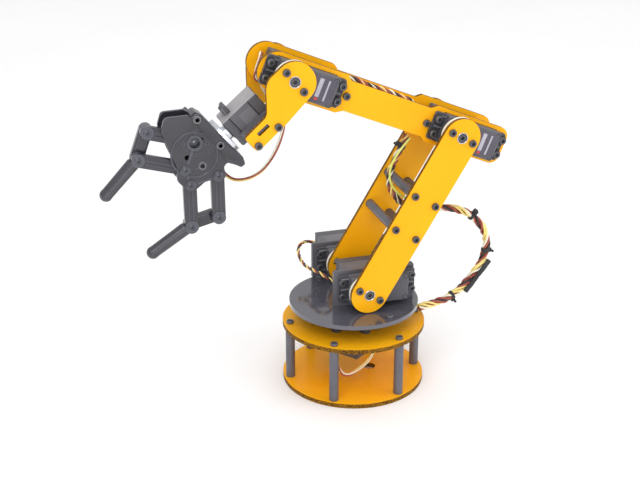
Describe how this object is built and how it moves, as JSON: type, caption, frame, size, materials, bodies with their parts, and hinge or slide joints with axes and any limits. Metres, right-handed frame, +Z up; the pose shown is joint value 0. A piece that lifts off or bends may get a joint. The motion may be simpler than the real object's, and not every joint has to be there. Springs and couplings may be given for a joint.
{
  "type": "desktop servo robot arm",
  "caption": "Small desktop robot arm: yellow plates on a turntable base, servo-driven joints and a parallel-jaw gripper.",
  "frame": {"origin": "centre of the base plate's underside, on the turntable's axis", "axes": "+X the way the arm reaches, +Y towards the side whose servos drive the arm, +Z up along the turntable's axis"},
  "size_m": [0.2711, 0.1167, 0.2373],
  "materials": {
    "yellow_panel": "glossy laser-cut acrylic sheet, amber cut edges",
    "grey_post": "dark grey anodised round post",
    "screw": "blackened steel cap screw",
    "black_disc": "glossy black sheet",
    "servo_black": "moulded black, slightly greyed faces",
    "servo_parts": "motor, gears and circuit board",
    "white_horn": "off-white moulded horn",
    "metal_horn": "machined light metal",
    "bracket": "black sheet bracket",
    "bolt": "steel pivot bolt",
    "grommet": "black rubber grommet",
    "gripper_black": "semi-gloss black moulded plastic",
    "gripper_pin": "dark steel pin",
    "wire": "bundle of black, red-brown and yellow wires",
    "pad": "low-friction glide pad"
  },
  "bodies": {
    "base": {"base_plate": "yellow_panel", "base_posts": "grey_post", "top_plate": "yellow_panel", "base_screws": "screw", "base_servo_case": "servo_black", "base_servo_drive": "servo_parts", "glide_pads": "pad", "base_servo_lead": "wire"},
    "turntable": {"turntable_disc": "black_disc", "base_horn": "white_horn", "near_shoulder_bracket": "bracket", "far_shoulder_bracket": "bracket", "turntable_screws": "screw", "near_shoulder_servo_case": "servo_black", "far_shoulder_servo_case": "servo_black", "shoulder_servo_drives": "servo_parts", "shoulder_servo_lead": "wire", "rear_harness": "wire"},
    "upper_arm": {"near_upper_arm_plate": "yellow_panel", "far_upper_arm_plate": "yellow_panel", "upper_arm_rods": "grey_post", "upper_arm_screws": "screw", "shoulder_horns": "white_horn", "elbow_horn": "white_horn", "elbow_pivot_bolt": "bolt", "arm_harness": "wire"},
    "forearm": {"near_forearm_plate": "yellow_panel", "far_forearm_plate": "yellow_panel", "forearm_posts": "grey_post", "forearm_screws": "screw", "elbow_servo_case": "servo_black", "wrist_servo_case": "servo_black", "forearm_servo_drives": "servo_parts", "forearm_grommets": "grommet", "pivot_spacers": "bolt", "forearm_harness": "wire"},
    "wrist": {"near_wrist_plate": "yellow_panel", "far_wrist_plate": "yellow_panel", "wrist_posts": "grey_post", "wrist_screws": "screw", "wrist_horn": "white_horn", "wrist_pivot_bolt": "bolt", "wrist_rotate_servo_case": "servo_black", "wrist_servo_cradle": "bracket", "wrist_rotate_lead": "wire"},
    "hand": {"wrist_rotate_horn": "metal_horn", "palm_block": "gripper_black", "palm_near_cover": "gripper_black", "palm_far_cover": "gripper_black", "gripper_servo_case": "servo_black", "palm_posts": "grey_post", "palm_screws": "screw", "palm_pins": "gripper_pin", "gripper_lead": "wire"},
    "upper_crank": {"upper_crank": "gripper_black"},
    "lower_crank": {"lower_crank": "gripper_black"},
    "upper_rocker": {"upper_rocker": "gripper_black"},
    "lower_rocker": {"lower_rocker": "gripper_black"},
    "upper_finger": {"upper_finger": "gripper_black"},
    "lower_finger": {"lower_finger": "gripper_black"}
  },
  "joints": [
    {"name": "base_yaw", "type": "hinge", "parent": "base", "child": "turntable", "pos_m": [0, 0, 0.0562], "axis": [0, 0, 1], "range_deg": [-90, 90]},
    {"name": "shoulder", "type": "hinge", "parent": "turntable", "child": "upper_arm", "pos_m": [-0.0022, 0, 0.0726], "axis": [0, -1, 0], "range_deg": [-40, 45], "deforming": ["rear_harness"]},
    {"name": "elbow", "type": "hinge", "parent": "upper_arm", "child": "forearm", "pos_m": [-0.06369, 0, 0.17641], "axis": [0, 1, 0], "range_deg": [-80, 25], "deforming": ["arm_harness"]},
    {"name": "wrist", "type": "hinge", "parent": "forearm", "child": "wrist", "pos_m": [0.04809, 0, 0.22182], "axis": [0, 1, 0], "range_deg": [-80, 28], "deforming": ["wrist_rotate_lead"]},
    {"name": "wrist_rotate", "type": "hinge", "parent": "wrist", "child": "hand", "pos_m": [0.04582, 0, 0.21915], "axis": [0.7604, 0, -0.6494], "range_deg": [-90, 90], "deforming": ["gripper_lead"]},
    {"name": "grip", "type": "hinge", "parent": "hand", "child": "upper_rocker", "pos_m": [0.10753, 0, 0.18298], "axis": [0, -1, 0], "range_deg": [-42, 12]},
    {"name": "upper_crank_swing", "type": "hinge", "parent": "hand", "child": "upper_crank", "pos_m": [0.11401, 0, 0.16565], "axis": [0, -1, 0], "range_deg": [-43, 13]},
    {"name": "lower_crank_swing", "type": "hinge", "parent": "hand", "child": "lower_crank", "pos_m": [0.11112, 0, 0.15549], "axis": [0, -1, 0], "range_deg": [-13, 43]},
    {"name": "lower_rocker_swing", "type": "hinge", "parent": "hand", "child": "lower_rocker", "pos_m": [0.09318, 0, 0.16003], "axis": [0, -1, 0], "range_deg": [-13, 43]},
    {"name": "upper_finger_swing", "type": "hinge", "parent": "upper_rocker", "child": "upper_finger", "pos_m": [0.13595, 0, 0.19086], "axis": [0, -1, 0], "range_deg": [-13, 43]},
    {"name": "lower_finger_swing", "type": "hinge", "parent": "lower_rocker", "child": "lower_finger", "pos_m": [0.09303, 0, 0.13053], "axis": [0, -1, 0], "range_deg": [-43, 13]}
  ],
  "couplings": [
    {"joint": "upper_crank_swing", "follows": "grip", "ratio": 1},
    {"joint": "lower_crank_swing", "follows": "grip", "ratio": -1},
    {"joint": "lower_rocker_swing", "follows": "grip", "ratio": -1},
    {"joint": "upper_finger_swing", "follows": "grip", "ratio": -1},
    {"joint": "lower_finger_swing", "follows": "grip", "ratio": 1}
  ]
}
